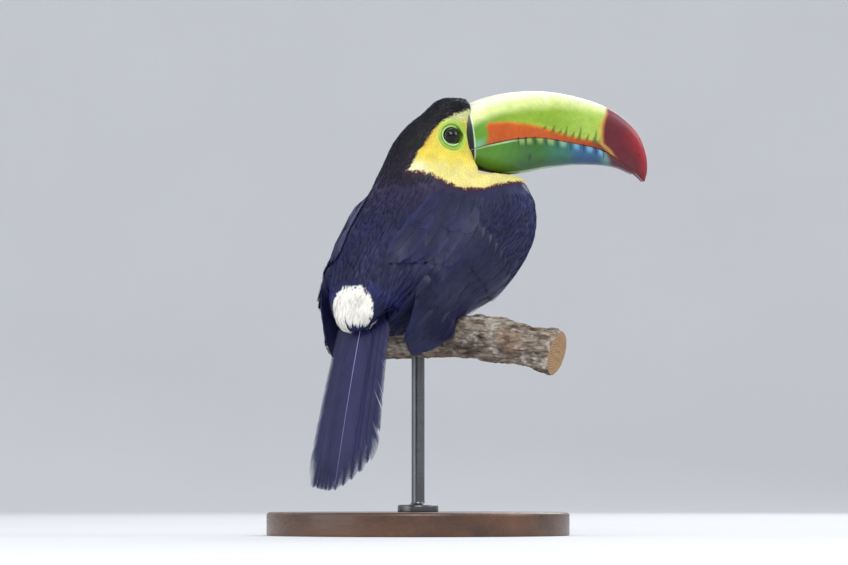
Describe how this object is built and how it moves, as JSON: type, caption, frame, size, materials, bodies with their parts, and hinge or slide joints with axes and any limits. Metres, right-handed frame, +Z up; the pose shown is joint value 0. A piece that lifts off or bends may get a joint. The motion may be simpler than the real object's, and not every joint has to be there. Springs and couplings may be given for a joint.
{
  "type": "keel-billed toucan model",
  "caption": "Still, life-size perched keel-billed toucan, head turned right over its shoulder, on a cut branch held by a plain round display stand.",
  "frame": {"origin": "centre of the underside of the stand's round base, on the floor", "axes": "+Z up; the bird faces -Y with its right side towards -X; the branch runs along X"},
  "size_m": [0.2108, 0.2345, 0.3098],
  "materials": {
    "plumage_black": "satin feather",
    "plumage_face": "soft feather",
    "flight_feathers": "satin feather",
    "bill": "horn, semi-gloss",
    "eye": "polished",
    "leg_skin": "scaled skin",
    "claw": "horn",
    "bark": "rough bark",
    "stand_metal": "brushed",
    "stand_wood": "oiled"
  },
  "bodies": {
    "root": {"trunk": "plumage_black", "neck": "plumage_black", "head": "plumage_face", "thigh_right": "plumage_black", "thigh_left": "plumage_black", "bill_upper": "bill", "bill_lower": "bill", "eye_right": "eye", "eye_left": "eye", "wing_right": "flight_feathers", "wing_left": "flight_feathers", "tail": "flight_feathers", "foot_right": "leg_skin", "foot_left": "leg_skin", "claw_right_outer_front": "claw", "claw_left_outer_front": "claw", "claw_right_inner_front": "claw", "claw_left_inner_front": "claw", "claw_right_outer_back": "claw", "claw_left_outer_back": "claw", "claw_right_inner_back": "claw", "claw_left_inner_back": "claw", "perch": "bark", "stand_rod": "stand_metal", "stand_base": "stand_wood"}
  },
  "joints": []
}
